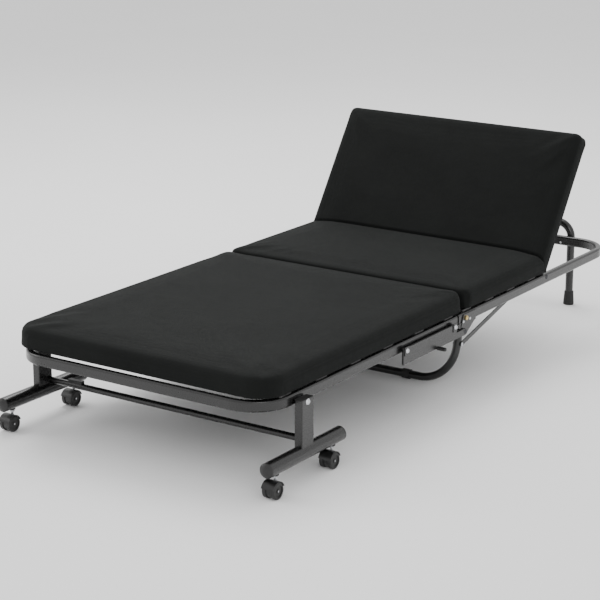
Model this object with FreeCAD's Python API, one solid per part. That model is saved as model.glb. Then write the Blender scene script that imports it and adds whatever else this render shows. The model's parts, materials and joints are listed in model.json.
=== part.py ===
import FreeCAD, Part
import math
import os

# Folding cot: two hinged bed halves on a wheeled stand, with flat steel slats, a three
# section mattress and a reclining backrest.
# Frame: +X across the bed, +Y along it from foot to head, +Z up.
# Origin: on the floor, midway between the ends and the sides.
# The shape is the bed standing open with its backrest raised.

# ---------------------------------------------------------------- overall
LENGTH = 2131.0
BASE_HALF = 182.0
STAND_Y = -LENGTH / 2 + BASE_HALF
WALL = 1.5
SOFT_GAP = 0.3
RUN_FIT = 0.06

# ---------------------------------------------------------------- bed frame
RAIL_X = 433.0
RAIL_WIDTH = 20.0
RAIL_HEIGHT = 33.0
RAIL_CORNER = 7.0
RAIL_Z = 233.5
FRAME_BEND = 107.0
RAIL_IN = RAIL_X - RAIL_WIDTH / 2
RAIL_OUT = RAIL_X + RAIL_WIDTH / 2
RAIL_TOP = RAIL_Z + RAIL_HEIGHT / 2
RAIL_BOTTOM = RAIL_Z - RAIL_HEIGHT / 2
CROSS_R = 8.0
FOOT_BAR_Y = STAND_Y - 145.0

# ---------------------------------------------------------------- centre hinge
HINGE_Y = STAND_Y + 870.0
HINGE_Z = 196.0
HINGE_PIN_R = 5.0
HINGE_EAR = 10.0
FOOT_RAIL_END = HINGE_Y - 31.0
HEAD_RAIL_END = HINGE_Y - 18.0
BRACKET_IN = RAIL_IN - 3.5
BRACKET_OUT = RAIL_OUT + 3.0
PLATE_IN = RAIL_OUT + 6.0
PLATE_OUT = PLATE_IN + 6.0

# ---------------------------------------------------------------- stand
PIVOT_Z = 226.0
PIVOT_BOLT_R = 5.0
BASE_X = 459.2
BASE_Z = 84.0
BASE_R = 21.0
BASE_CAP = 12.0
UPRIGHT_WIDTH = 25.0
UPRIGHT_DEPTH = 56.0
UPRIGHT_TOP = 232.0
UPRIGHT_IN = BASE_X - UPRIGHT_WIDTH / 2
UPRIGHT_OUT = BASE_X + UPRIGHT_WIDTH / 2
STAND_TUBE_R = 9.5
STAND_TUBE_Y = STAND_Y + 18.0
STAND_TUBE_Z = 111.0

# ---------------------------------------------------------------- casters
CASTER_Y = 134.0
WHEEL_R = 23.0
WHEEL_IN = 7.5
WHEEL_OUT = 20.0
TRAIL = 12.0
STEM_R = 4.0
AXLE_R = 3.0
SOCKET_BOTTOM = 61.0
SCREW_R = 3.0

# ---------------------------------------------------------------- head leg hoop
HOOP_R = 13.5
HOOP_X = 277.0
HOOP_TOP = 291.0
HOOP_BEND = 50.0
HOOP_GAP = 3.0
FOOT_R = 19.0
HOOP_Y = LENGTH / 2 - FOOT_R
HEAD_BAR_Y = HOOP_Y - HOOP_R - HOOP_GAP - RAIL_WIDTH / 2

# ---------------------------------------------------------------- centre leg and brace
LEG_X = 396.0
LEG_R = 12.5
LEG_BEND = 114.0
LEG_LEAN = 12.0
LEG_PIVOT_Y = HINGE_Y + 70.0
LEG_PIVOT_Z = 204.0
PAD_R = 15.0
PAD_HALF = 13.0
PAD_X = 235.0
LEG_DROP = (LEG_PIVOT_Z - PAD_R) / math.cos(math.radians(LEG_LEAN))
LEG_BOLT_R = 4.0
BRACE_ON_LEG = 71.0
BRACE_IN = LEG_X + LEG_R + 0.4
BRACE_OUT = BRACE_IN + 3.0
BRACE_HALF = 7.0
BRACE_TOP_Y = HINGE_Y + 365.0
BRACE_TOP_Z = 213.0
GUIDE_Z = RAIL_Z - 9.0
BRACE_PIN_R = 3.0

# ---------------------------------------------------------------- backrest
RECLINE_Y = HINGE_Y + 551.0
RECLINE_Z = 240.0
BACK_ANGLE = 56.0
BACK_X = 406.0
BACK_R = 10.0
BACK_LENGTH = 450.0
BACK_BEND = 90.0
RECLINE_BOLT_R = 5.0
EAR_IN = BACK_X + BACK_R
EAR_OUT = RAIL_IN - 3.7
RATCHET_R = 19.0
RATCHET_TEETH = 24

# ---------------------------------------------------------------- slats and mattress
SLAT_THICK = 5.7
SLAT_HALF = 27.5
SLAT_TOP = RAIL_TOP + SLAT_THICK
PAD_HALF_WIDTH = 458.0
PAD_BOTTOM = SLAT_TOP + SOFT_GAP
PAD_THICK = 69.0
PAD_TOP = PAD_BOTTOM + PAD_THICK
PAD_EDGE = 18.0
PAD_FOOT_Y = STAND_Y - 159.0
PAD_FOOT_CORNER = 90.0
PAD_CORNER = 30.0
SEAM_CORNER = 45.0
SEAM_Y = HINGE_Y + 16.0
NOTCH = 37.5
BACK_PAD_END = HOOP_Y - HOOP_R - 2.0

X_AXIS = FreeCAD.Vector(1, 0, 0)
Y_AXIS = FreeCAD.Vector(0, 1, 0)
Z_AXIS = FreeCAD.Vector(0, 0, 1)
ORIGIN = FreeCAD.Vector(0, 0, 0)


def vec(x, y, z):
    return FreeCAD.Vector(x, y, z)


# ================================================================ solids
def box(x0, x1, y0, y1, z0, z1):
    return Part.makeBox(x1 - x0, y1 - y0, z1 - z0, vec(x0, y0, z0))


def rod_x(radius, x0, x1, y, z):
    return Part.makeCylinder(radius, x1 - x0, vec(x0, y, z), X_AXIS)


def rod_y(radius, y0, y1, x, z):
    return Part.makeCylinder(radius, y1 - y0, vec(x, y0, z), Y_AXIS)


def rod_z(radius, z0, z1, x, y):
    return Part.makeCylinder(radius, z1 - z0, vec(x, y, z0), Z_AXIS)


def dome(radius, height, base, direction):
    """A rounded cap, as on a bolt head, on a flat base that faces along direction."""
    ball_r = (radius ** 2 + height ** 2) / (2 * height)
    ball = Part.makeSphere(ball_r, vec(0, 0, height - ball_r))
    cap = ball.common(Part.makeCylinder(radius, height))
    turn = FreeCAD.Rotation(Z_AXIS, direction)
    cap.Placement = FreeCAD.Placement(base, turn)
    return cap


def hex_nut(radius, x0, x1, y, z):
    """A six-sided nut on an axis along X."""
    corners = []
    for step in range(7):
        angle = math.radians(60 * step)
        corners.append(vec(x0, y + radius * math.cos(angle), z + radius * math.sin(angle)))
    return Part.Face(Part.makePolygon(corners)).extrude(vec(x1 - x0, 0, 0))


def plate_x(points, x0, x1):
    """A flat plate of thickness x0 to x1 with a straight-sided outline of (y, z) points."""
    corners = [vec(x0, y, z) for y, z in points]
    corners.append(corners[0])
    return Part.Face(Part.makePolygon(corners)).extrude(vec(x1 - x0, 0, 0))


def link_bar(x0, x1, start, end, half):
    """A flat bar with round ends between two (y, z) points."""
    run = math.hypot(end[0] - start[0], end[1] - start[1])
    tilt = math.degrees(math.atan2(end[1] - start[1], end[0] - start[0]))
    bar = box(x0, x1, 0, run, -half, half)
    bar = bar.fuse([rod_x(half, x0, x1, 0, 0), rod_x(half, x0, x1, run, 0)]).removeSplitter()
    bar.rotate(ORIGIN, X_AXIS, tilt)
    bar.translate(vec(0, start[0], start[1]))
    return bar


def fused(first, *others):
    return first.fuse(list(others)).removeSplitter()


def mirrored(shape):
    return shape.mirror(ORIGIN, X_AXIS)


def pair(shape):
    return Part.makeCompound([shape, mirrored(shape)])


def group(shapes):
    return Part.makeCompound(shapes)


# ================================================================ tubes
def round_section(radius):
    """A tube's outline, drawn in by the given amount for its bore."""
    return lambda inset: Part.Face(Part.Wire(Part.makeCircle(radius - inset)))


def box_section(width, height, corner):
    """A rounded rectangle, drawn in by the given amount for its bore."""
    def face(inset):
        half_w = width / 2 - inset
        half_h = height / 2 - inset
        bar = box(-half_w, half_w, -half_h, half_h, 0, 1)
        uprights = [edge for edge in bar.Edges if abs(edge.tangentAt(0).z) > 0.9]
        bar = bar.makeFillet(max(corner - inset, 0.5), uprights)
        return [side for side in bar.Faces if side.CenterOfMass.z < 1e-6][0]
    return face


def placed(face, origin, tangent, up):
    """The section moved to a point of the tube, square to the tube."""
    turn = FreeCAD.Rotation(up.cross(tangent), up, tangent, "ZXY")
    moved = face.copy()
    moved.Placement = FreeCAD.Placement(origin, turn)
    return moved


def bent_bar(face, points, bend, up):
    """Straight runs joined by round bends, all in the plane square to up."""
    pieces = []
    start = points[0]
    for here, corner in enumerate(points[1:], 1):
        tangent = (corner - points[here - 1]).normalize()
        if here == len(points) - 1:
            pieces.append(placed(face, start, tangent, up).extrude(corner - start))
            continue
        after = (points[here + 1] - corner).normalize()
        turn = tangent.getAngle(after)
        setback = bend * math.tan(turn / 2)
        stop = corner - tangent * setback
        pieces.append(placed(face, start, tangent, up).extrude(stop - start))
        axis = tangent.cross(after).normalize()
        centre = stop + axis.cross(tangent) * bend
        pieces.append(placed(face, stop, tangent, up).revolve(centre, axis, math.degrees(turn)))
        start = corner + after * setback
    return pieces[0].multiFuse(pieces[1:]).removeSplitter()


def bent_tube(section, points, bend, up):
    wall = section(0.0).cut(section(WALL)).Faces[0]
    return bent_bar(wall, points, bend, up)


def straight_tube(section, start, end, up):
    return bent_tube(section, [start, end], 1.0, up)


RAIL = box_section(RAIL_WIDTH, RAIL_HEIGHT, RAIL_CORNER)


def frame_tube(open_y, bar_y):
    """One bed half: two side rails and the end bar, bent from one tube."""
    points = [vec(-RAIL_X, open_y, RAIL_Z), vec(-RAIL_X, bar_y, RAIL_Z)]
    points += [vec(RAIL_X, bar_y, RAIL_Z), vec(RAIL_X, open_y, RAIL_Z)]
    return bent_tube(RAIL, points, FRAME_BEND, Z_AXIS)


def cross_tube(y):
    ends = [vec(-RAIL_IN, y, RAIL_Z), vec(RAIL_IN, y, RAIL_Z)]
    return straight_tube(round_section(CROSS_R), ends[0], ends[1], Z_AXIS)


def slat(y, half_width):
    board = box(-half_width, half_width, y - SLAT_HALF, y + SLAT_HALF, RAIL_TOP, SLAT_TOP)
    ends = [edge for edge in board.Edges if abs(edge.tangentAt(0).z) > 0.9]
    return board.makeFillet(6.0, ends)


def rail_plug(end_y, inward, depth):
    """A plastic plug in the open end of each rail, inward being +1 or -1 along Y."""
    head_thick = 3.0
    bore_fit = 0.1
    head = placed(RAIL(0.0), vec(RAIL_X, end_y, RAIL_Z), Y_AXIS, Z_AXIS)
    head = head.extrude(Y_AXIS * (-inward * head_thick))
    plug = placed(RAIL(WALL + bore_fit), vec(RAIL_X, end_y, RAIL_Z), Y_AXIS, Z_AXIS)
    plug = plug.extrude(Y_AXIS * (inward * depth))
    return pair(head.fuse(plug).removeSplitter())


# ================================================================ stand
def base_tube():
    tube_half = BASE_HALF - BASE_CAP
    ends = [vec(BASE_X, STAND_Y - tube_half, BASE_Z), vec(BASE_X, STAND_Y + tube_half, BASE_Z)]
    tube = straight_tube(round_section(BASE_R), ends[0], ends[1], Z_AXIS)
    for side in (-1, 1):
        tube = tube.cut(rod_z(7.0, BASE_Z - BASE_R - 5, BASE_Z, BASE_X, STAND_Y + side * CASTER_Y))
    for y in screw_places():
        tube = tube.cut(rod_z(SCREW_R, BASE_Z - BASE_R - 5, BASE_Z + BASE_R + 5, BASE_X, y))
    return tube


def base_cap(side):
    """A domed plastic plug in one end of a base tube, side being +1 or -1 along Y."""
    lip = 4.0
    depth = 14.0
    mouth = STAND_Y + side * (BASE_HALF - BASE_CAP)
    ring = rod_y(BASE_R, min(mouth, mouth + side * lip), max(mouth, mouth + side * lip), BASE_X, BASE_Z)
    nose = dome(BASE_R, BASE_CAP - lip, vec(BASE_X, mouth + side * lip, BASE_Z), Y_AXIS * side)
    back = mouth - side * depth
    plug = rod_y(BASE_R - WALL - 0.1, min(mouth, back), max(mouth, back), BASE_X, BASE_Z)
    return fused(ring, nose, plug)


def screw_places():
    return [STAND_Y - 18.0, STAND_Y + 18.0]


def base_screw(y):
    """Comes up through the base tube into the foot of the upright."""
    head = dome(5.5, 3.0, vec(BASE_X, y, BASE_Z - BASE_R), Z_AXIS * -1)
    return fused(rod_z(SCREW_R, BASE_Z - BASE_R, BASE_Z + BASE_R + 6, BASE_X, y), head)


def upright():
    section = box_section(UPRIGHT_WIDTH, UPRIGHT_DEPTH, 3.0)
    column = straight_tube(section, vec(BASE_X, STAND_Y, BASE_Z), vec(BASE_X, STAND_Y, UPRIGHT_TOP), Y_AXIS)
    saddle = rod_y(BASE_R, STAND_Y - BASE_HALF, STAND_Y + BASE_HALF, BASE_X, BASE_Z)
    hole = rod_x(PIVOT_BOLT_R, UPRIGHT_IN - 5, UPRIGHT_OUT + 5, STAND_Y, PIVOT_Z)
    return column.cut(saddle).cut(hole)


def upright_cap():
    lid_thick = 3.0
    section = box_section(UPRIGHT_WIDTH, UPRIGHT_DEPTH, 3.0)
    lid = section(0.0).extrude(Z_AXIS * lid_thick)
    plug = section(WALL + 0.1).extrude(Z_AXIS * -8.0)
    cap = fused(lid, plug)
    cap.translate(vec(BASE_X, STAND_Y, UPRIGHT_TOP))
    return cap.cut(rod_x(PIVOT_BOLT_R, UPRIGHT_IN - 1, UPRIGHT_OUT + 1, STAND_Y, PIVOT_Z))


def pivot_bolt():
    """Carries one rail of the foot half on its upright."""
    nut_out = RAIL_IN - SOFT_GAP
    shank = rod_x(PIVOT_BOLT_R, nut_out - 9, UPRIGHT_OUT, STAND_Y, PIVOT_Z)
    head = dome(9.0, 5.0, vec(UPRIGHT_OUT, STAND_Y, PIVOT_Z), X_AXIS)
    nut = hex_nut(9.0, nut_out - 7, nut_out, STAND_Y, PIVOT_Z)
    return fused(shank, head, nut)


def stand_cross_tube():
    ends = [vec(-UPRIGHT_IN, STAND_TUBE_Y, STAND_TUBE_Z), vec(UPRIGHT_IN, STAND_TUBE_Y, STAND_TUBE_Z)]
    return straight_tube(round_section(STAND_TUBE_R), ends[0], ends[1], Z_AXIS)


def cross_tube_rest():
    """A plastic block clipped over the stand's cross tube, near its left end."""
    block = box(-372, -322, STAND_TUBE_Y - 7, STAND_TUBE_Y + 7, STAND_TUBE_Z, STAND_TUBE_Z + 17)
    return block.cut(rod_x(STAND_TUBE_R, -400, -300, STAND_TUBE_Y, STAND_TUBE_Z))


# ================================================================ casters
def caster_socket(side):
    """A plastic bush in the underside of a base tube, which holds a caster's stem."""
    y = STAND_Y + side * CASTER_Y
    flange = rod_z(10.0, SOCKET_BOTTOM, BASE_Z - 6, BASE_X, y)
    flange = flange.cut(rod_y(BASE_R, y - 20, y + 20, BASE_X, BASE_Z))
    bush = rod_z(7.0, SOCKET_BOTTOM, BASE_Z, BASE_X, y)
    stem = rod_z(STEM_R + RUN_FIT, SOCKET_BOTTOM - 1, BASE_Z + 1, BASE_X, y)
    return fused(flange, bush).cut(stem)


def caster_hood(x, y):
    """The plastic body between a caster's wheels, with a fender over them."""
    wheel_y = y - TRAIL
    inner = WHEEL_R + 1.0
    outer = inner + 2.5
    web = rod_x(WHEEL_R - 3.0, x - 6.5, x + 6.5, wheel_y, WHEEL_R)
    neck = rod_z(9.5, WHEEL_R + 6, 55.0, x, y)
    neck = neck.cut(rod_x(inner, x - 10, x - 6.5, wheel_y, WHEEL_R))
    neck = neck.cut(rod_x(inner, x + 6.5, x + 10, wheel_y, WHEEL_R))
    fender = rod_x(outer, x - WHEEL_OUT, x + WHEEL_OUT, wheel_y, WHEEL_R)
    fender = fender.cut(rod_x(inner, x - WHEEL_OUT - 1, x + WHEEL_OUT + 1, wheel_y, WHEEL_R))
    fender = fender.cut(box(x - 30, x + 30, wheel_y - 40, wheel_y + 40, -5, WHEEL_R + 8))
    rib = box(x - 6.5, x + 6.5, wheel_y - 12, y, WHEEL_R, WHEEL_R + inner)
    hood = fused(web, neck, fender, rib)
    hood = hood.cut(rod_x(AXLE_R, x - 10, x + 10, wheel_y, WHEEL_R))
    return hood.cut(rod_z(STEM_R, WHEEL_R + 16, 60, x, y))


def caster_wheels(x, y):
    """A pair of plastic wheels on one axle, each with a raised hub and a rounded tread."""
    wheel_y = y - TRAIL
    wheel = rod_x(WHEEL_R, x + WHEEL_IN, x + WHEEL_OUT, wheel_y, WHEEL_R)
    wheel = wheel.makeFillet(3.0, wheel.Edges[0:1] + wheel.Edges[2:3])
    wheel = wheel.cut(rod_x(16.0, x + WHEEL_OUT - 2.0, x + WHEEL_OUT + 1, wheel_y, WHEEL_R))
    hub = rod_x(6.5, x + WHEEL_OUT - 4.0, x + WHEEL_OUT - 0.5, wheel_y, WHEEL_R)
    wheel = fused(wheel, hub)
    wheel = wheel.cut(rod_x(AXLE_R + RUN_FIT, x, x + WHEEL_OUT + 1, wheel_y, WHEEL_R))
    other = wheel.mirror(vec(x, 0, 0), X_AXIS)
    return group([wheel, other])


def caster_stem(x, y):
    collar = rod_z(7.0, 55.0, 58.0, x, y)
    return fused(rod_z(STEM_R, WHEEL_R + 16, BASE_Z - 2, x, y), collar)


def caster_axle(x, y):
    return rod_x(AXLE_R, x - WHEEL_OUT + 1, x + WHEEL_OUT - 1, y - TRAIL, WHEEL_R)


# ================================================================ foot half
FOOT_CROSS_Y = [STAND_Y + rise for rise in (33.0, 323.0, 623.0, 823.0)]
FOOT_SLAT_Y = [STAND_Y - 47.0 + 170.0 * step for step in range(6)]
LINK_BOLTS = [(HINGE_Y - 340.0, RAIL_BOTTOM + 7.5), (HINGE_Y - 63.0, RAIL_BOTTOM + 8.5)]
LINK_BOLT_R = 4.0
LINK_START = HINGE_Y - 358.0
LINK_TOP = RAIL_Z
LINK_BOTTOM = HINGE_Z - HINGE_EAR
PEG_R = 6.0
PEG_Y = HINGE_Y - 155.0
PEG_Z = LINK_BOTTOM - 3.0
PEG_END = 476.0


def foot_frame_tube():
    tube = frame_tube(FOOT_RAIL_END, FOOT_BAR_Y)
    holes = [rod_x(PIVOT_BOLT_R + RUN_FIT, RAIL_IN - 5, RAIL_OUT + 5, STAND_Y, PIVOT_Z)]
    for y, z in LINK_BOLTS:
        holes.append(rod_x(LINK_BOLT_R, RAIL_IN - 5, RAIL_OUT + 5, y, z))
    for hole in holes:
        tube = tube.cut(hole).cut(mirrored(hole))
    return tube


def pivot_bush():
    """A sleeve on the rail, which spaces it from the upright and turns on the pivot bolt."""
    sleeve = rod_x(12.0, RAIL_OUT, UPRIGHT_IN - SOFT_GAP, STAND_Y, PIVOT_Z)
    return sleeve.cut(rod_x(PIVOT_BOLT_R + RUN_FIT, RAIL_OUT - 1, UPRIGHT_IN, STAND_Y, PIVOT_Z))


def link_plate():
    """The side plate of the foot half. Its ear, beyond the rail's end, holds the hinge pin."""
    ear_start = LINK_BOLTS[1][0] + 10.0
    outline = [(LINK_START, LINK_BOTTOM), (HINGE_Y, LINK_BOTTOM)]
    outline += [(HINGE_Y, HINGE_Z + HINGE_EAR), (ear_start, HINGE_Z + HINGE_EAR)]
    outline += [(ear_start, LINK_TOP), (LINK_START, LINK_TOP)]
    plate = plate_x(outline, PLATE_IN, PLATE_OUT)
    plate = fused(plate, rod_x(HINGE_EAR, PLATE_IN, PLATE_OUT, HINGE_Y, HINGE_Z))
    plate = plate.cut(rod_x(HINGE_PIN_R, PLATE_IN - 1, PLATE_OUT + 1, HINGE_Y, HINGE_Z))
    for y, z in LINK_BOLTS:
        plate = plate.cut(rod_x(LINK_BOLT_R, PLATE_IN - 1, PLATE_OUT + 1, y, z))
    return plate.cut(rod_x(PEG_R, PLATE_IN - 1, PLATE_OUT + 1, PEG_Y, PEG_Z))


def link_spacer(y, z):
    spacer = rod_x(7.0, RAIL_OUT, PLATE_IN, y, z)
    return spacer.cut(rod_x(LINK_BOLT_R, RAIL_OUT - 1, PLATE_IN + 1, y, z))


def link_washer(y, z):
    """A square washer under the bolt's head."""
    washer = box(PLATE_OUT, PLATE_OUT + 2, y - 13, y + 9, z - 13, z + 12)
    return washer.cut(rod_x(LINK_BOLT_R, PLATE_OUT - 1, PLATE_OUT + 3, y, z))


def link_bolt(y, z):
    shank = rod_x(LINK_BOLT_R, RAIL_IN - 8, PLATE_OUT + 2, y, z)
    head = dome(7.5, 5.0, vec(PLATE_OUT + 2, y, z), X_AXIS)
    return fused(shank, head, hex_nut(7.0, RAIL_IN - 6, RAIL_IN, y, z))


def lift_peg():
    """A short grip under the side plate, by which the middle of the bed is lifted to fold it."""
    grip = straight_tube(round_section(PEG_R), vec(PLATE_IN, PEG_Y, PEG_Z), vec(PEG_END, PEG_Y, PEG_Z), Z_AXIS)
    return fused(grip, dome(PEG_R, 3.0, vec(PEG_END, PEG_Y, PEG_Z), X_AXIS))


def hinge_pin():
    shank = rod_x(HINGE_PIN_R, BRACKET_IN - 2.0, PLATE_OUT, HINGE_Y, HINGE_Z)
    head = dome(8.0, 4.0, vec(PLATE_OUT, HINGE_Y, HINGE_Z), X_AXIS)
    return fused(shank, head)


# ================================================================ head half
HEAD_CROSS_Y = [HINGE_Y + reach for reach in (120.0, 240.0, 480.0)]
HEAD_SLAT_Y = [HINGE_Y + 44.0 + 139.0 * step for step in range(4)]
BRACKET_BOLT = (HINGE_Y + 18.0, RAIL_Z)
BRACKET_BOLT_R = 4.0
BRACKET_SCREWS = [(HINGE_Y + 3.0, RAIL_Z - 9.0), (HINGE_Y + 43.0, RAIL_Z - 8.0)]
BRACKET_SCREW_R = 2.5
BRACKET_TOP = RAIL_TOP - 4.0
HOOP_BOLT_X = 255.0
HOOP_BOLT_Z = RAIL_Z - 6.0


def head_frame_tube():
    tube = frame_tube(HEAD_RAIL_END, HEAD_BAR_Y)
    y, z = BRACKET_BOLT
    holes = [rod_x(BRACKET_BOLT_R, RAIL_IN - 5, RAIL_OUT + 5, y, z)]
    holes.append(rod_x(RECLINE_BOLT_R, RAIL_IN - 5, RAIL_OUT + 5, RECLINE_Y, RECLINE_Z))
    holes.append(rod_y(LEG_BOLT_R, HEAD_BAR_Y - 15, HEAD_BAR_Y + 15, HOOP_BOLT_X, HOOP_BOLT_Z))
    for y, z in BRACKET_SCREWS:
        holes.append(rod_x(BRACKET_SCREW_R, RAIL_OUT - 5, RAIL_OUT + 5, y, z))
    for hole in holes:
        tube = tube.cut(hole).cut(mirrored(hole))
    return tube


def hinge_bracket():
    """A steel channel under the rail's end, which turns on the hinge pin and holds the leg."""
    bottom = HINGE_Z - HINGE_EAR
    inner_end = LEG_PIVOT_Y + 14.0
    inner = [(HINGE_Y, bottom), (inner_end, bottom), (inner_end, RAIL_Z), (inner_end - 14, BRACKET_TOP)]
    inner += [(HINGE_Y + 4, BRACKET_TOP), (HINGE_Y - HINGE_EAR, HINGE_Z + 14), (HINGE_Y - HINGE_EAR, HINGE_Z)]
    outer_end = HINGE_Y + 78.0
    outer = [(HINGE_Y, bottom), (HINGE_Y + 26, bottom), (outer_end - 12, RAIL_BOTTOM - 5)]
    outer += [(outer_end, RAIL_BOTTOM), (outer_end, BRACKET_TOP), (HINGE_Y + 4, BRACKET_TOP)]
    outer += [(HINGE_Y - HINGE_EAR, HINGE_Z + 14), (HINGE_Y - HINGE_EAR, HINGE_Z)]
    web = box(BRACKET_IN, BRACKET_OUT, HINGE_Y + 14, HINGE_Y + 60, RAIL_BOTTOM - 3, RAIL_BOTTOM)
    bracket = fused(plate_x(inner, BRACKET_IN, RAIL_IN), plate_x(outer, RAIL_OUT, BRACKET_OUT), web)
    for x0, x1 in ((BRACKET_IN, RAIL_IN), (RAIL_OUT, BRACKET_OUT)):
        bracket = bracket.fuse(rod_x(HINGE_EAR, x0, x1, HINGE_Y, HINGE_Z))
    bracket = bracket.removeSplitter()
    holes = [rod_x(HINGE_PIN_R + RUN_FIT, BRACKET_IN - 1, BRACKET_OUT + 1, HINGE_Y, HINGE_Z)]
    holes.append(rod_x(BRACKET_BOLT_R, BRACKET_IN - 1, BRACKET_OUT + 1, BRACKET_BOLT[0], BRACKET_BOLT[1]))
    holes.append(rod_x(LEG_BOLT_R, BRACKET_IN - 1, RAIL_IN + 1, LEG_PIVOT_Y, LEG_PIVOT_Z))
    for y, z in BRACKET_SCREWS:
        holes.append(rod_x(BRACKET_SCREW_R, RAIL_OUT - 1, BRACKET_OUT + 1, y, z))
    for hole in holes:
        bracket = bracket.cut(hole)
    return bracket


def bracket_bolt():
    """A plated bolt with a tall round head, through the bracket and the rail."""
    y, z = BRACKET_BOLT
    shank = rod_x(BRACKET_BOLT_R, BRACKET_IN - 4, BRACKET_OUT, y, z)
    head = rod_x(7.0, BRACKET_OUT, BRACKET_OUT + 4, y, z)
    return fused(shank, head, dome(7.0, 2.5, vec(BRACKET_OUT + 4, y, z), X_AXIS))


def bracket_screw(y, z):
    head = dome(4.5, 2.5, vec(BRACKET_OUT, y, z), X_AXIS)
    return fused(rod_x(BRACKET_SCREW_R, RAIL_OUT - 4, BRACKET_OUT, y, z), head)


def leg_pivot_bolt():
    nut_out = LEG_X - LEG_R - SOFT_GAP
    shank = rod_x(LEG_BOLT_R, nut_out - 8, RAIL_IN, LEG_PIVOT_Y, LEG_PIVOT_Z)
    washer = rod_x(8.0, LEG_X + LEG_R + 0.2, BRACKET_IN, LEG_PIVOT_Y, LEG_PIVOT_Z)
    head = dome(7.0, 4.0, vec(RAIL_IN, LEG_PIVOT_Y, LEG_PIVOT_Z), X_AXIS)
    return fused(shank, washer, head, hex_nut(7.5, nut_out - 6, nut_out, LEG_PIVOT_Y, LEG_PIVOT_Z))


def hoop():
    """The head legs and the guard between them, bent from one tube."""
    floor_gap = 4.0
    points = [vec(-HOOP_X, HOOP_Y, floor_gap), vec(-HOOP_X, HOOP_Y, HOOP_TOP)]
    points += [vec(HOOP_X, HOOP_Y, HOOP_TOP), vec(HOOP_X, HOOP_Y, floor_gap)]
    return bent_tube(round_section(HOOP_R), points, HOOP_BEND, Y_AXIS)


def hoop_flange():
    """A welded plate between a head leg and the end bar."""
    face = HOOP_Y - HOOP_R
    plate = box(HOOP_BOLT_X - 15, HOOP_X + 14, face - HOOP_GAP, face, HOOP_BOLT_Z - 12, HOOP_BOLT_Z + 14)
    return plate.cut(rod_y(LEG_BOLT_R, face - HOOP_GAP - 1, face + 1, HOOP_BOLT_X, HOOP_BOLT_Z))


def hoop_bolt():
    face = HOOP_Y - HOOP_R
    shank = rod_y(LEG_BOLT_R, HEAD_BAR_Y - RAIL_WIDTH / 2, face, HOOP_BOLT_X, HOOP_BOLT_Z)
    head = dome(7.0, 4.5, vec(HOOP_BOLT_X, face, HOOP_BOLT_Z), Y_AXIS)
    return fused(shank, head)


def head_foot():
    """A rubber ferrule on the end of a head leg."""
    foot_height = 48.0
    foot = Part.makeCone(FOOT_R, FOOT_R - 3.0, foot_height, vec(HOOP_X, HOOP_Y, 0))
    foot = foot.makeFillet(2.0, [foot.Edges[0], foot.Edges[2]])
    return foot.cut(rod_z(HOOP_R, 4.0, foot_height + 1, HOOP_X, HOOP_Y))


def recline_bolt():
    nut_out = BACK_X - BACK_R - SOFT_GAP
    shank = rod_x(RECLINE_BOLT_R, nut_out - 9, RAIL_OUT, RECLINE_Y, RECLINE_Z)
    head = dome(9.0, 3.5, vec(RAIL_OUT, RECLINE_Y, RECLINE_Z), X_AXIS)
    return fused(shank, head, hex_nut(9.0, nut_out - 7, nut_out, RECLINE_Y, RECLINE_Z))


def ratchet_disc():
    """A toothed disc on the rail's inner face, on which the backrest's ear plate clicks."""
    corners = []
    for step in range(2 * RATCHET_TEETH + 1):
        radius = RATCHET_R if step % 2 else RATCHET_R - 2.0
        angle = math.pi * step / RATCHET_TEETH
        corners.append((RECLINE_Y + radius * math.cos(angle), RECLINE_Z + radius * math.sin(angle)))
    disc = plate_x(corners[:-1], RAIL_IN - 3.4, RAIL_IN)
    return disc.cut(rod_x(RECLINE_BOLT_R, RAIL_IN - 5, RAIL_IN + 1, RECLINE_Y, RECLINE_Z))


def brace_guide():
    """A slotted strip on the rail's inner face, beside which the brace's top end travels."""
    strip = link_bar(RAIL_IN - 2.0, RAIL_IN, (BRACE_TOP_Y - 6, GUIDE_Z), (BRACE_TOP_Y + 95, GUIDE_Z), 7.0)
    slot = link_bar(RAIL_IN - 3.0, RAIL_IN + 1, (BRACE_TOP_Y, GUIDE_Z), (BRACE_TOP_Y + 87, GUIDE_Z), 3.3)
    return strip.cut(slot)


# ================================================================ centre leg
def leg_point(distance):
    """The (y, z) point on the leg's side, measured down from its pivot."""
    lean = math.radians(LEG_LEAN)
    return LEG_PIVOT_Y - distance * math.sin(lean), LEG_PIVOT_Z - distance * math.cos(lean)


def leaned(shape):
    shape.rotate(vec(0, LEG_PIVOT_Y, LEG_PIVOT_Z), X_AXIS, -LEG_LEAN)
    return shape


def centre_leg_tube():
    over = 12.0
    top = LEG_PIVOT_Z + over
    bottom = LEG_PIVOT_Z - LEG_DROP
    points = [vec(-LEG_X, LEG_PIVOT_Y, top), vec(-LEG_X, LEG_PIVOT_Y, bottom)]
    points += [vec(LEG_X, LEG_PIVOT_Y, bottom), vec(LEG_X, LEG_PIVOT_Y, top)]
    leg = leaned(bent_tube(round_section(LEG_R), points, LEG_BEND, Y_AXIS))
    pivot = rod_x(LEG_BOLT_R + RUN_FIT, LEG_X - 20, LEG_X + 20, LEG_PIVOT_Y, LEG_PIVOT_Z)
    y, z = leg_point(BRACE_ON_LEG)
    rivet = rod_x(BRACE_PIN_R, LEG_X - 20, LEG_X + 20, y, z)
    for hole in (pivot, rivet):
        leg = leg.cut(hole).cut(mirrored(hole))
    return leg


def centre_leg_pad():
    """A rubber sleeve on the leg's floor bar."""
    y, z = leg_point(LEG_DROP)
    start = PAD_X - PAD_HALF
    end = PAD_X + PAD_HALF
    return rod_x(PAD_R, start, end, y, z).cut(rod_x(LEG_R, start - 1, end + 1, y, z))


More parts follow.
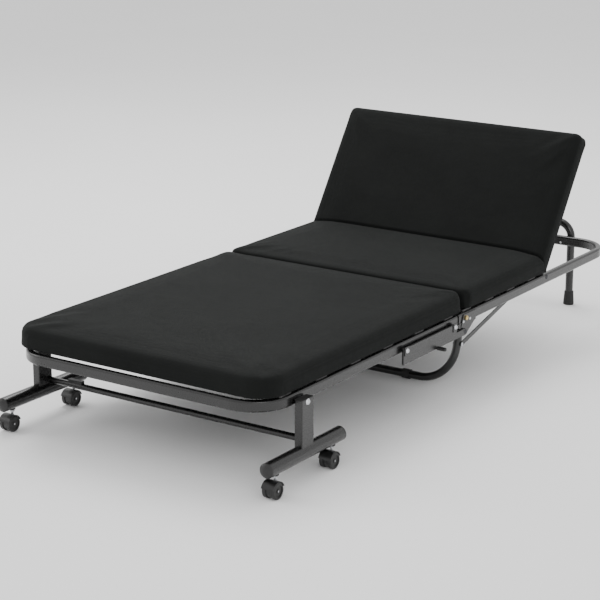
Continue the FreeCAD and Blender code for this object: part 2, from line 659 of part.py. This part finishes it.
def brace_rivet():
    y, z = leg_point(BRACE_ON_LEG)
    shank = rod_x(BRACE_PIN_R, LEG_X - LEG_R, BRACE_OUT + SOFT_GAP, y, z)
    inner = dome(5.5, 2.5, vec(LEG_X - LEG_R, y, z), X_AXIS * -1)
    outer = rod_x(5.5, BRACE_OUT + SOFT_GAP, BRACE_OUT + SOFT_GAP + 1.8, y, z)
    return fused(shank, inner, outer)


def brace_bar():
    start = leg_point(BRACE_ON_LEG)
    end = (BRACE_TOP_Y, BRACE_TOP_Z)
    bar = link_bar(BRACE_IN, BRACE_OUT, start, end, BRACE_HALF)
    bar = bar.cut(rod_x(BRACE_PIN_R + RUN_FIT, BRACE_IN - 1, BRACE_OUT + 1, start[0], start[1]))
    return bar.cut(rod_x(BRACE_PIN_R, BRACE_IN - 1, BRACE_OUT + 1, end[0], end[1]))


def brace_stud():
    """The pin at the brace's top end, which runs along the guide."""
    shank = rod_x(BRACE_PIN_R, BRACE_IN, BRACE_OUT, BRACE_TOP_Y, BRACE_TOP_Z)
    head = dome(5.5, 2.5, vec(BRACE_IN, BRACE_TOP_Y, BRACE_TOP_Z), X_AXIS * -1)
    return fused(shank, head)


# ================================================================ backrest
BACK_SLAT_Y = [RECLINE_Y + 38.0 + 124.5 * step for step in range(4)]
BACK_SLAT_WIDTH = 414.0


def raised(shape):
    """From lying flat in the head half to the backrest's angle."""
    shape.rotate(vec(0, RECLINE_Y, RECLINE_Z), X_AXIS, BACK_ANGLE)
    return shape


def backrest_tube():
    start = RECLINE_Y - 11.0
    bar = RECLINE_Y + BACK_LENGTH
    points = [vec(-BACK_X, start, RECLINE_Z), vec(-BACK_X, bar, RECLINE_Z)]
    points += [vec(BACK_X, bar, RECLINE_Z), vec(BACK_X, start, RECLINE_Z)]
    tube = bent_tube(round_section(BACK_R), points, BACK_BEND, Z_AXIS)
    hole = rod_x(RECLINE_BOLT_R + RUN_FIT, BACK_X - 20, BACK_X + 20, RECLINE_Y, RECLINE_Z)
    return raised(tube.cut(hole).cut(mirrored(hole)))


def ear_plate():
    ear = link_bar(EAR_IN, EAR_OUT, (RECLINE_Y, RECLINE_Z), (RECLINE_Y + 75, RECLINE_Z), 10.0)
    return raised(ear.cut(rod_x(RECLINE_BOLT_R + RUN_FIT, EAR_IN - 1, EAR_OUT + 1, RECLINE_Y, RECLINE_Z)))


# ================================================================ mattress
def cushion(profile, corner_radii):
    """A pad with a (y, z) side outline, rounded in plan and then along its edges."""
    pad = plate_x(profile, -PAD_HALF_WIDTH, PAD_HALF_WIDTH)
    for at_y, radius in corner_radii:
        posts = []
        for edge in pad.Edges:
            middle = edge.CenterOfMass
            if abs(edge.tangentAt(edge.FirstParameter).z) > 0.3 and abs(middle.y - at_y) < 40:
                if abs(abs(middle.x) - PAD_HALF_WIDTH) < 1:
                    posts.append(edge)
        pad = pad.makeFillet(radius, posts)
    rims = [edge for edge in pad.Edges if abs(edge.CenterOfMass.z - PAD_TOP) < 0.5]
    rims += [edge for edge in pad.Edges if abs(edge.CenterOfMass.z - PAD_BOTTOM) < 0.5]
    return pad.makeFillet(PAD_EDGE, rims)


def foot_mattress():
    end = SEAM_Y - 0.5
    profile = [(PAD_FOOT_Y, PAD_BOTTOM), (end, PAD_BOTTOM), (end, PAD_TOP), (PAD_FOOT_Y, PAD_TOP)]
    return cushion(profile, [(PAD_FOOT_Y, PAD_FOOT_CORNER), (end, SEAM_CORNER)])


def notch_y(z, side):
    """Where the crease between seat and backrest cuts the pad at height z."""
    return RECLINE_Y + side * (z - RECLINE_Z) * math.tan(math.radians(NOTCH))


def seat_mattress():
    start = SEAM_Y + 0.5
    profile = [(start, PAD_BOTTOM), (notch_y(PAD_BOTTOM, -1), PAD_BOTTOM)]
    profile += [(notch_y(PAD_TOP, -1), PAD_TOP), (start, PAD_TOP)]
    return cushion(profile, [(start, PAD_CORNER)])


def backrest_mattress():
    profile = [(notch_y(PAD_BOTTOM, 1), PAD_BOTTOM), (BACK_PAD_END, PAD_BOTTOM)]
    profile += [(BACK_PAD_END, PAD_TOP), (notch_y(PAD_TOP, 1), PAD_TOP)]
    return raised(cushion(profile, [(BACK_PAD_END, PAD_CORNER)]))


# ================================================================ assembly
nodes = {}

# stand
nodes["stand_upright_right"] = upright()
nodes["stand_upright_left"] = mirrored(upright())
nodes["base_tube_right"] = base_tube()
nodes["base_tube_left"] = mirrored(base_tube())
nodes["base_end_caps"] = group([pair(base_cap(side)) for side in (-1, 1)])
nodes["base_screws"] = group([pair(base_screw(y)) for y in screw_places()])
nodes["upright_caps"] = pair(upright_cap())
nodes["stand_cross_tube"] = stand_cross_tube()
nodes["cross_tube_rest"] = cross_tube_rest()
nodes["stand_pivot_bolts"] = pair(pivot_bolt())
nodes["caster_sockets"] = group([pair(caster_socket(side)) for side in (-1, 1)])

# casters
for side_name, x in (("left", -BASE_X), ("right", BASE_X)):
    for end_name, end in (("foot", -1), ("head", 1)):
        y = STAND_Y + end * CASTER_Y
        place = end_name + "_" + side_name
        nodes["caster_hood_" + place] = caster_hood(x, y)
        nodes["caster_pins_" + place] = group([caster_stem(x, y), caster_axle(x, y)])
        nodes["caster_wheels_" + place] = caster_wheels(x, y)

# foot half
nodes["foot_frame_tube"] = foot_frame_tube()
nodes["foot_cross_tubes"] = group([cross_tube(y) for y in FOOT_CROSS_Y])
nodes["foot_slats"] = group([slat(y, RAIL_X + 2) for y in FOOT_SLAT_Y])
nodes["foot_mattress"] = foot_mattress()
nodes["foot_rail_plugs"] = rail_plug(FOOT_RAIL_END, -1, 5.0)
nodes["pivot_bushes"] = pair(pivot_bush())
nodes["link_plate_right"] = link_plate()
nodes["link_plate_left"] = mirrored(link_plate())
nodes["link_washers"] = group([pair(link_washer(y, z)) for y, z in LINK_BOLTS])
nodes["link_spacers"] = group([pair(link_spacer(y, z)) for y, z in LINK_BOLTS])
nodes["link_bolts"] = group([pair(link_bolt(y, z)) for y, z in LINK_BOLTS])
nodes["lift_pegs"] = pair(lift_peg())
nodes["hinge_pins"] = pair(hinge_pin())

# head half
nodes["head_frame_tube"] = head_frame_tube()
nodes["head_cross_tubes"] = group([cross_tube(y) for y in HEAD_CROSS_Y])
nodes["seat_slats"] = group([slat(y, RAIL_X + 2) for y in HEAD_SLAT_Y])
nodes["seat_mattress"] = seat_mattress()
nodes["head_rail_plugs"] = rail_plug(HEAD_RAIL_END, 1, 15.0)
nodes["hinge_bracket_right"] = hinge_bracket()
nodes["hinge_bracket_left"] = mirrored(hinge_bracket())
nodes["bracket_bolts"] = pair(bracket_bolt())
nodes["bracket_screws"] = group([pair(bracket_screw(y, z)) for y, z in BRACKET_SCREWS])
nodes["leg_pivot_bolts"] = pair(leg_pivot_bolt())
nodes["recline_bolts"] = pair(recline_bolt())
nodes["recline_ratchets"] = pair(ratchet_disc())
nodes["brace_guides"] = pair(brace_guide())
nodes["head_leg_hoop"] = group([hoop(), hoop_flange(), mirrored(hoop_flange())])
nodes["hoop_bolts"] = pair(hoop_bolt())
nodes["head_leg_feet"] = pair(head_foot())

# centre leg and its brace
nodes["centre_leg_tube"] = centre_leg_tube()
nodes["centre_leg_pads"] = pair(centre_leg_pad())
nodes["brace_rivets"] = pair(brace_rivet())
nodes["brace_bars"] = pair(fused(brace_bar(), brace_stud()))

# backrest
nodes["backrest_frame_tube"] = backrest_tube()
nodes["backrest_ear_plates"] = pair(ear_plate())
nodes["backrest_slats"] = group([raised(slat(y, BACK_SLAT_WIDTH)) for y in BACK_SLAT_Y])
nodes["backrest_mattress"] = backrest_mattress()

os.makedirs("parts", exist_ok=True)
for name, shape in nodes.items():
    shape.exportStep("parts/" + name + ".step")
    print(name, len(shape.Solids), round(shape.Volume / 1000.0, 2), shape.isValid())
print(len(nodes), "nodes")
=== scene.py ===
"""A folding bed on a wheeled stand, open, with its backrest raised.

The steel frame, the stand and the casters are the CAD nodes with procedural finishes. The mattress is made here:
a foot section, and one long section that bends at the backrest. Both are stuffed by cloth simulation while flat.
"""
import json
import math

import bmesh
import bpy
import numpy as np
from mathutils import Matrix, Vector


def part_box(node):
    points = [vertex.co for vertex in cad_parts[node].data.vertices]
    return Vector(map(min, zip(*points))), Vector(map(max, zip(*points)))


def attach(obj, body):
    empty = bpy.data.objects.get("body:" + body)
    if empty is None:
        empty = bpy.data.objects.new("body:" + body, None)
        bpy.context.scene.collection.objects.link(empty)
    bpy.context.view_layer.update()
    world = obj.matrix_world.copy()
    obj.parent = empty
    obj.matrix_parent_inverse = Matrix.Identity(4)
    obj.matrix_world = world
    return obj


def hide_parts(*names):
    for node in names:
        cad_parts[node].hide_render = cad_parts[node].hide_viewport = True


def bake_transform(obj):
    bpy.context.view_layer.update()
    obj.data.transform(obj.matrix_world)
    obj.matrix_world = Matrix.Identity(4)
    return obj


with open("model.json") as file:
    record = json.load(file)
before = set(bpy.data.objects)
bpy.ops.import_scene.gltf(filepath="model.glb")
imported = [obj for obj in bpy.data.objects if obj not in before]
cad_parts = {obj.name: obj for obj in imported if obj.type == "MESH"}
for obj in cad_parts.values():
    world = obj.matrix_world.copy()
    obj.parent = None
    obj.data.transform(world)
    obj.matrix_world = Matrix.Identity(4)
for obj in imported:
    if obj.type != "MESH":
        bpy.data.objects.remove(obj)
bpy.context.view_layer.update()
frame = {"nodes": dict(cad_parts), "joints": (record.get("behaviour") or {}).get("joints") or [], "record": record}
RECORD = frame["record"]
JOINTS = {joint["name"]: joint for joint in frame["joints"]}


# ---------------------------------------------------------------- node helpers
class Shader:
    """One material's node tree, with a short call for each kind of node it needs."""

    def __init__(self, name):
        self.material = bpy.data.materials.new(name)
        self.material.use_nodes = True
        self.nodes = self.material.node_tree.nodes
        self.links = self.material.node_tree.links
        self.surface = self.nodes["Principled BSDF"]
        self.place = self.nodes.new("ShaderNodeTexCoord").outputs["Object"]

    def link(self, source, target):
        self.links.new(source, target)

    def attribute(self, name):
        node = self.nodes.new("ShaderNodeAttribute")
        node.attribute_name = name
        return node.outputs["Vector"]

    def stretched(self, source, scale):
        node = self.nodes.new("ShaderNodeMapping")
        node.inputs["Scale"].default_value = scale
        self.link(source, node.inputs["Vector"])
        return node.outputs["Vector"]

    def noise(self, source, scale, detail=3.0, roughness=0.5, distortion=0.0):
        node = self.nodes.new("ShaderNodeTexNoise")
        node.inputs["Scale"].default_value = scale
        node.inputs["Detail"].default_value = detail
        node.inputs["Roughness"].default_value = roughness
        node.inputs["Distortion"].default_value = distortion
        self.link(source, node.inputs["Vector"])
        return node.outputs["Fac"]

    def cells(self, source, scale):
        node = self.nodes.new("ShaderNodeTexVoronoi")
        node.inputs["Scale"].default_value = scale
        self.link(source, node.inputs["Vector"])
        return node.outputs["Distance"]

    def bands(self, source, direction, pitch, distortion=0.0):
        """Parallel threads, one every pitch metres along a direction."""
        node = self.nodes.new("ShaderNodeTexWave")
        node.wave_type = "BANDS"
        node.bands_direction = direction
        node.inputs["Scale"].default_value = 0.314 / pitch
        node.inputs["Distortion"].default_value = distortion
        node.inputs["Detail"].default_value = 1.0
        self.link(source, node.inputs["Vector"])
        return node.outputs["Fac"]

    def math(self, operation, first, second):
        node = self.nodes.new("ShaderNodeMath")
        node.operation = operation
        for socket, value in zip(node.inputs, (first, second)):
            if isinstance(value, (int, float)):
                socket.default_value = value
            else:
                self.link(value, socket)
        return node.outputs["Value"]

    def between(self, source, low, high, start=0.3, end=0.7):
        """A number from low to high, as the source goes from start to end."""
        node = self.nodes.new("ShaderNodeMapRange")
        node.inputs["From Min"].default_value = start
        node.inputs["From Max"].default_value = end
        node.inputs["To Min"].default_value = low
        node.inputs["To Max"].default_value = high
        self.link(source, node.inputs["Value"])
        return node.outputs["Result"]

    def colours(self, source, stops):
        node = self.nodes.new("ShaderNodeValToRGB")
        ramp = node.color_ramp
        while len(ramp.elements) < len(stops):
            ramp.elements.new(0.5)
        for element, (position, colour) in zip(ramp.elements, stops):
            element.position = position
            element.color = (*colour, 1.0)
        self.link(source, node.inputs["Fac"])
        return node.outputs["Color"]

    def bump(self, height, distance, strength=1.0, under=None):
        node = self.nodes.new("ShaderNodeBump")
        node.inputs["Distance"].default_value = distance
        node.inputs["Strength"].default_value = strength
        self.link(height, node.inputs["Height"])
        if under is not None:
            self.link(under, node.inputs["Normal"])
        return node.outputs["Normal"]

    def finish(self, colour, roughness, normal, **constants):
        self.link(colour, self.surface.inputs["Base Color"])
        self.link(roughness, self.surface.inputs["Roughness"])
        self.link(normal, self.surface.inputs["Normal"])
        for socket, value in constants.items():
            self.surface.inputs[socket.replace("_", " ")].default_value = value
        return self.material


# ---------------------------------------------------------------- finishes
def shade(level, tint=(1.0, 1.0, 1.0)):
    return tuple(level * part for part in tint)


def powder_coat(name, level, gloss):
    """Black baked powder: a fine orange peel under a thin gloss, with faint scuffs."""
    s = Shader(name)
    cloud = s.noise(s.place, 9.0, 4.0)
    colour = s.colours(cloud, [(0.3, shade(level * 0.9)), (0.7, shade(level * 1.1))])
    scuffs = s.noise(s.stretched(s.place, (60.0, 14.0, 60.0)), 3.0, 6.0, 0.65)
    roughness = s.between(scuffs, gloss, gloss + 0.07, 0.42, 0.72)
    peel = s.bump(s.noise(s.place, 900.0, 2.0), 0.00009)
    return s.finish(colour, roughness, peel, Coat_Weight=0.18, Coat_Roughness=0.22)


def plated(name, dark, light, rough):
    """Plated steel: patchy brightness, fine lines from turning and small dull spots."""
    s = Shader(name)
    cloud = s.noise(s.place, 160.0, 5.0, 0.6)
    colour = s.colours(cloud, [(0.3, dark), (0.7, light)])
    lines = s.noise(s.stretched(s.place, (2500.0, 300.0, 300.0)), 1.0, 2.0)
    roughness = s.between(cloud, rough, rough + 0.22)
    return s.finish(colour, roughness, s.bump(lines, 0.00004), Metallic=1.0)


def moulded(name, level, rough, grain=1400.0, depth=0.00006):
    """Moulded plastic: a fine spark-eroded grain and a little uneven shine."""
    s = Shader(name)
    cloud = s.noise(s.place, 55.0, 3.0)
    colour = s.colours(cloud, [(0.3, shade(level * 0.85)), (0.7, shade(level * 1.2))])
    roughness = s.between(cloud, rough - 0.06, rough + 0.08)
    return s.finish(colour, roughness, s.bump(s.cells(s.place, grain), depth))


def rubber(name, level):
    s = Shader(name)
    dust = s.noise(s.place, 120.0, 6.0, 0.7)
    colour = s.colours(dust, [(0.35, shade(level)), (0.75, shade(level * 1.7, (1.0, 0.98, 0.95)))])
    roughness = s.between(dust, 0.72, 0.9)
    return s.finish(colour, roughness, s.bump(s.noise(s.place, 1100.0, 3.0), 0.0001))


def woven(name):
    """Plain black polyester cloth: crossing threads, soft creases and a faint uneven dye."""
    s = Shader(name)
    cloth = s.attribute("cloth_place")
    dye = s.noise(cloth, 5.0, 5.0, 0.6)
    slub = s.noise(s.stretched(cloth, (420.0, 90.0, 420.0)), 1.0, 2.0)
    tone = s.math("ADD", s.math("MULTIPLY", dye, 0.65), s.math("MULTIPLY", slub, 0.35))
    colour = s.colours(tone, [(0.32, (0.0062, 0.0068, 0.0065)), (0.68, (0.0098, 0.0107, 0.0101))])
    warp = s.bands(cloth, "X", 0.0021, 0.4)
    weft = s.bands(cloth, "Y", 0.0021, 0.4)
    rise = s.bands(cloth, "Z", 0.0021, 0.4)
    threads = s.math("MULTIPLY", s.math("ADD", warp, rise), weft)
    creases = s.bump(s.noise(s.stretched(cloth, (1.0, 1.7, 1.0)), 11.0, 3.0, 0.45, 0.8), 0.0018)
    weave = s.bump(threads, 0.00035, 0.8, creases)
    roughness = s.between(slub, 0.78, 0.95)
    return s.finish(
        colour, roughness, weave,
        Sheen_Weight=0.03, Sheen_Roughness=0.45, Sheen_Tint=(0.75, 0.8, 0.78, 1.0), Specular_IOR_Level=0.1,
    )


FINISHES = {
    "black_steel": powder_coat("powder_coat", 0.006, 0.26),
    "leg_steel": powder_coat("leg_coat", 0.003, 0.28),
    "dark_steel": plated("blackened_steel", (0.05, 0.05, 0.055), (0.1, 0.1, 0.105), 0.34),
    "zinc_steel": plated("bright_zinc", (0.5, 0.51, 0.53), (0.74, 0.75, 0.77), 0.24),
    "gold_zinc": plated("yellow_zinc", (0.5, 0.37, 0.14), (0.78, 0.63, 0.32), 0.26),
    "black_plastic": moulded("cap_plastic", 0.009, 0.42),
    "hood_plastic": moulded("hood_plastic", 0.008, 0.36),
    "wheel_plastic": moulded("wheel_nylon", 0.011, 0.46),
    "black_rubber": rubber("foot_rubber", 0.014),
    "slat_steel": powder_coat("slat_coat", 0.006, 0.34),
    "cover_fabric": woven("cover_cloth"),
}


def dress(thing, slot):
    thing.data.materials.clear()
    thing.data.materials.append(FINISHES[slot])


for part in RECORD["subparts"]:
    dress(frame["nodes"][part["node"]], part["material_slot"])


# ---------------------------------------------------------------- mattress
# All lengths are in metres.
VOXEL = 0.009                # cell of the simulated cover
RIM_TOP = 0.026              # rounding of the cover's upper edge
RIM_UNDER = 0.012            # rounding of its lower edge, which tucks under
SNUG = 0.4                   # the rims are this much tighter where two sections meet
SHRINK = 0.005               # the cover starts this much smaller than it ends
SWELL = 0.007                # the most that a point of the cover may move
HELD = 0.004                 # the cover is held on the slats up to this height above its underside
STUFFING_FRAMES = 20
FOLD_BAND = 0.007            # half thickness of the band that bends at the backrest
FOOT_CORNER = 0.09           # corners of the foot end, in plan
SEAM_CORNER = 0.045          # corners where the foot section meets the seat
INNER_CORNER = 0.03          # corners of the seat and the backrest
LEAST_CORNER = 0.004
CORNER_STEPS = 8             # faces round a corner in plan
RIM_STEPS = 6                # faces round a rim
DART_DEPTH = 0.0022          # the sewn darts down the corners
DART_WIDTH = 0.006
BISECTIONS = 40


def points_of(mesh):
    flat = np.empty(len(mesh.vertices) * 3)
    mesh.vertices.foreach_get("co", flat)
    return flat.reshape(-1, 3)


def set_points(mesh, points):
    mesh.vertices.foreach_set("co", np.asarray(points, np.float32).ravel())
    mesh.update()


def plan_ring(low, high, radii, inset, snug):
    """The section's outline in plan, with a corner radius at its foot end and at its head end."""
    ring = []
    half = high.x - inset
    ends = ((low.y + inset * snug[0], -1, radii[0]), (high.y - inset * snug[1], 1, radii[1]))
    for y, way, radius in ends:
        radius = max(radius - inset, LEAST_CORNER)
        for side in (way, -way):
            centre = (side * (half - radius), y - way * radius)
            start = math.atan2(way, side) - math.pi / 4
            for step in range(CORNER_STEPS + 1):
                angle = start + step * math.pi / 2 / CORNER_STEPS
                ring.append((centre[0] + radius * math.cos(angle), centre[1] + radius * math.sin(angle)))
    return ring


def slab(name, low, high, radii, snug):
    """A closed block with rounded rims: stacked outlines from the lower face to the upper one."""
    levels = []
    for step in range(RIM_STEPS + 1):
        turn = step * math.pi / 2 / RIM_STEPS
        levels.append((RIM_UNDER * (1 - math.sin(turn)), low.z + RIM_UNDER * (1 - math.cos(turn))))
    for step in range(RIM_STEPS + 1):
        turn = step * math.pi / 2 / RIM_STEPS
        levels.append((RIM_TOP * (1 - math.cos(turn)), high.z - RIM_TOP * (1 - math.sin(turn))))
    bm = bmesh.new()
    rings = []
    for inset, z in levels:
        outline = plan_ring(low, high, radii, inset, snug)
        rings.append([bm.verts.new((x, y, z)) for x, y in outline])
    for lower, upper in zip(rings, rings[1:]):
        for i in range(len(lower)):
            j = (i + 1) % len(lower)
            bm.faces.new((lower[i], lower[j], upper[j], upper[i]))
    bm.faces.new(list(reversed(rings[0])))
    bm.faces.new(rings[-1])
    bmesh.ops.recalc_face_normals(bm, faces=bm.faces)
    mesh = bpy.data.meshes.new(name)
    bm.to_mesh(mesh)
    bm.free()
    piece = bpy.data.objects.new(name, mesh)
    bpy.context.scene.collection.objects.link(piece)
    return piece


def applied(piece):
    """The piece with its modifiers taken into its mesh."""
    bpy.context.view_layer.update()
    graph = bpy.context.evaluated_depsgraph_get()
    mesh = bpy.data.meshes.new_from_object(piece.evaluated_get(graph))
    piece.modifiers.clear()
    piece.data = mesh
    return piece


def stuffed(piece, floor):
    """The cover blown up by cloth pressure. Its underside stays at floor and no point moves further than SWELL."""
    remesh = piece.modifiers.new("voxels", "REMESH")
    remesh.mode = "VOXEL"
    remesh.voxel_size = VOXEL
    applied(piece)
    start = points_of(piece.data)
    held = piece.vertex_groups.new(name="held")
    under = np.nonzero(start[:, 2] < floor + HELD)[0]
    held.add(under.tolist(), 1.0, "REPLACE")
    cloth = piece.modifiers.new("stuffing", "CLOTH")
    cloth.settings.quality = 4
    cloth.settings.mass = 0.25
    cloth.settings.tension_stiffness = 25.0
    cloth.settings.compression_stiffness = 25.0
    cloth.settings.bending_stiffness = 2.5
    cloth.settings.use_pressure = True
    cloth.settings.uniform_pressure_force = 4.0
    cloth.settings.effector_weights.gravity = 0.0
    cloth.settings.vertex_group_mass = "held"
    cloth.collision_settings.use_collision = False
    cloth.point_cache.frame_start = 1
    cloth.point_cache.frame_end = STUFFING_FRAMES
    for tick in range(1, STUFFING_FRAMES + 1):
        bpy.context.scene.frame_set(tick)
    applied(piece)
    piece.vertex_groups.clear()
    bpy.context.scene.frame_set(1)
    end = points_of(piece.data)
    move = end - start
    size = np.linalg.norm(move, axis=1, keepdims=True)
    move *= SWELL * np.tanh(size / SWELL) / np.maximum(size, 1e-9)
    end = start + move
    end[:, 2] = np.maximum(end[:, 2], floor)
    set_points(piece.data, end)
    finer = piece.modifiers.new("finer", "SUBSURF")
    finer.levels = 1
    finer.render_levels = 1
    return applied(piece)


def seams(points, low, high, radii):
    """Sewn darts down the cover's corners."""
    x, y, z = points.T
    out = points.copy()
    share = np.clip((z - low.z) / (high.z - low.z), 0, 1)
    wall = np.exp(-(((share - 0.55) / 0.3) ** 2))
    for radius, end, way in ((radii[0], low.y, -1), (radii[1], high.y, 1)):
        for side in (-1, 1):
            cx, cy = side * (high.x - radius), end - way * radius
            dx, dy = (x - cx) * side, (y - cy) * way
            reach = np.hypot(dx, dy)
            near = (dx > -0.01) & (dy > -0.01) & (reach > radius * 0.5)
            off = (dx - dy) / math.sqrt(2)
            dip = np.where(near, DART_DEPTH * np.exp(-((off / DART_WIDTH) ** 2)) * wall, 0.0)
            out[:, 0] -= dip * side / math.sqrt(2)
            out[:, 1] -= dip * way / math.sqrt(2)
    return out


def mattress(name, low, high, radii, snug):
    inner_low = low + Vector((SHRINK, SHRINK * snug[0], 0.0))
    inner_high = high - Vector((SHRINK, SHRINK * snug[1], SHRINK))
    piece = stuffed(slab(name, inner_low, inner_high, radii, snug), low.z)
    flat = seams(points_of(piece.data), low, high, radii)
    set_points(piece.data, flat)
    place = piece.data.attributes.new("cloth_place", "FLOAT_VECTOR", "POINT")
    place.data.foreach_set("vector", flat.astype(np.float32).ravel())
    piece.data.polygons.foreach_set("use_smooth", [True] * len(piece.data.polygons))
    dress(piece, "cover_fabric")
    return piece


recline = JOINTS["recline"]
PIVOT = Vector(recline["pos_m"])
RAISED = -math.radians(recline["range_deg"][0])
HALF = RAISED / 2


def turned(points, angle):
    """Points turned about the recline axis, backrest up for a positive angle."""
    y, z = points[:, 1] - PIVOT.y, points[:, 2] - PIVOT.z
    out = np.array(points, float)
    out[:, 1] = PIVOT.y + y * np.cos(angle) - z * np.sin(angle)
    out[:, 2] = PIVOT.z + y * np.sin(angle) + z * np.cos(angle)
    return out


def raised(points):
    """The flat mattress bent up at the backrest."""
    y, z = points[:, 1] - PIVOT.y, points[:, 2] - PIVOT.z
    reach, flat = np.hypot(y, z), np.arctan2(y, z)
    low, high = flat - RAISED, flat.copy()
    for _ in range(BISECTIONS):
        middle = (low + high) / 2
        t = np.clip((reach * np.sin(middle + HALF) + FOLD_BAND) / (2 * FOLD_BAND), 0, 1)
        over = middle + RAISED * t * t * (3 - 2 * t) > flat
        high = np.where(over, middle, high)
        low = np.where(over, low, middle)
    return turned(points, flat - (low + high) / 2)


foot_low, foot_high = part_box("foot_mattress")
foot_cover = mattress("foot_mattress_cover", foot_low, foot_high, (FOOT_CORNER, SEAM_CORNER), (1.0, SNUG))
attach(foot_cover, "foot_frame")
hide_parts("foot_mattress")

seat_low, seat_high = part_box("seat_mattress")
back_flat = turned(points_of(frame["nodes"]["backrest_mattress"].data), -RAISED)
long_high = Vector((seat_high.x, float(back_flat[:, 1].max()), seat_high.z))
head_cover = mattress("head_mattress_cover", seat_low, long_high, (INNER_CORNER, INNER_CORNER), (SNUG, 1.0))
set_points(head_cover.data, raised(points_of(head_cover.data)))
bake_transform(head_cover)
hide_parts("seat_mattress", "backrest_mattress")


# ---------------------------------------------------------------- floor, light and camera
def studio_floor():
    mesh = bpy.data.meshes.new("floor")
    mesh.from_pydata([(-30, -30, 0), (30, -30, 0), (30, 30, 0), (-30, 30, 0)], [], [(0, 1, 2, 3)])
    floor = bpy.data.objects.new("floor", mesh)
    floor.location.z = -0.0005
    bpy.context.scene.collection.objects.link(floor)
    s = Shader("floor_paper")
    cloud = s.noise(s.place, 0.6, 2.0)
    colour = s.colours(cloud, [(0.3, shade(0.93)), (0.7, shade(0.96))])
    floor.data.materials.append(s.finish(colour, s.between(cloud, 0.85, 0.95), s.bump(cloud, 0.0001)))


def soft_box(name, location, target, size, power):
    light = bpy.data.lights.new(name, "AREA")
    light.shape = "RECTANGLE"
    light.size, light.size_y = size
    light.energy = power
    thing = bpy.data.objects.new(name, light)
    thing.location = location
    thing.rotation_euler = (Vector(target) - Vector(location)).to_track_quat("-Z", "Y").to_euler()
    bpy.context.scene.collection.objects.link(thing)


CAMERA_PLACE = (3.1126, -4.8028, 1.8649)
CAMERA_AZIMUTH = 34.23
CAMERA_DOWN = 16.06
CAMERA_LENS = 114.0


def studio_camera():
    data = bpy.data.cameras.new("camera")
    data.lens = CAMERA_LENS
    data.sensor_width = 36.0
    camera = bpy.data.objects.new("camera", data)
    camera.location = CAMERA_PLACE
    camera.rotation_euler = (math.radians(90.0 - CAMERA_DOWN), 0.0, math.radians(CAMERA_AZIMUTH))
    bpy.context.scene.collection.objects.link(camera)
    bpy.context.scene.camera = camera


studio_floor()
soft_box("key", (-1.6, 1.6, 4.2), (0.0, 0.0, 0.2), (3.2, 3.2), 150.0)
soft_box("fill", (3.6, -3.4, 2.6), (0.0, 0.0, 0.3), (2.4, 2.0), 45.0)
soft_box("left", (-4.2, -2.4, 2.4), (0.0, -0.4, 0.3), (2.0, 2.0), 40.0)
world = bpy.data.worlds.new("studio")
bpy.context.scene.world = world
world.use_nodes = True
world.node_tree.nodes["Background"].inputs["Color"].default_value = (1.0, 1.0, 1.0, 1.0)
world.node_tree.nodes["Background"].inputs["Strength"].default_value = 1.1
studio_camera()
